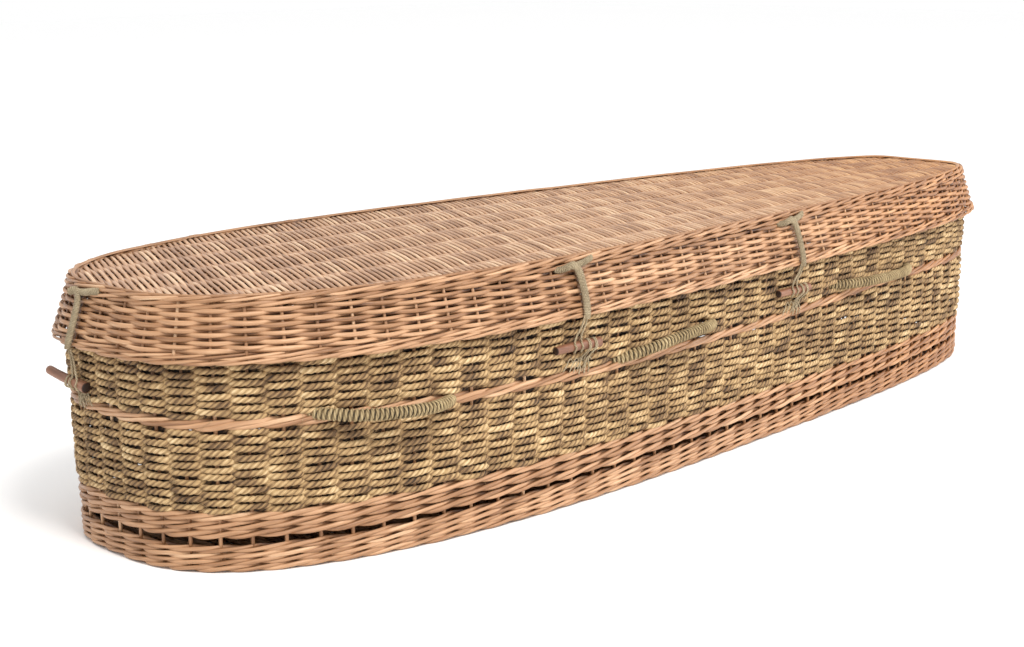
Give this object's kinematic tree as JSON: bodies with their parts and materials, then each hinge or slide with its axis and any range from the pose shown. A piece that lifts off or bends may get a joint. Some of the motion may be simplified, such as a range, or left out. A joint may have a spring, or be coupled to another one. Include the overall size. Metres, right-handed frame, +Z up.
{
  "type": "wicker coffin",
  "caption": "Tapered round-ended woven coffin of willow and seagrass with a lift-off lid, rope-wrapped handles and cord-and-toggle fastenings.",
  "frame": {"origin": "on the ground under the middle of the length and width", "axes": "+X along the length from the head end to the foot end, +Y across, +Z up"},
  "size_m": [2.0054, 0.6636, 0.3729],
  "materials": {
    "willow": "buff willow rods, satin bark-free surface",
    "seagrass": "two-ply twisted seagrass rope, dry and fibrous",
    "handle_cord": "tight wrap of thin seagrass cord",
    "toggle_wood": "thin peeled stick, satin",
    "jute": "grey-beige jute cord, matt"
  },
  "bodies": {
    "root": {"woven_floor": "willow", "willow_foot": "willow", "seagrass_wall_lower": "seagrass", "willow_middle_wale": "willow", "seagrass_wall_upper": "seagrass", "willow_base_rim": "willow", "lid_border": "willow", "lid_side": "willow", "lid_rim": "willow", "lid_woven_top": "willow", "handle_near_1": "handle_cord", "handle_near_2": "handle_cord", "handle_near_3": "handle_cord", "handle_far_1": "handle_cord", "handle_far_2": "handle_cord", "handle_far_3": "handle_cord", "toggle_near_1": "toggle_wood", "toggle_near_2": "toggle_wood", "toggle_far_1": "toggle_wood", "toggle_far_2": "toggle_wood", "toggle_head": "toggle_wood", "toggle_foot": "toggle_wood", "lashing_near_1": "jute", "lashing_near_2": "jute", "lashing_far_1": "jute", "lashing_far_2": "jute", "lashing_head": "jute", "lashing_foot": "jute", "toggle_string_near_1": "jute", "toggle_string_near_2": "jute", "toggle_string_far_1": "jute", "toggle_string_far_2": "jute", "toggle_string_head": "jute", "toggle_string_foot": "jute"}
  },
  "joints": []
}
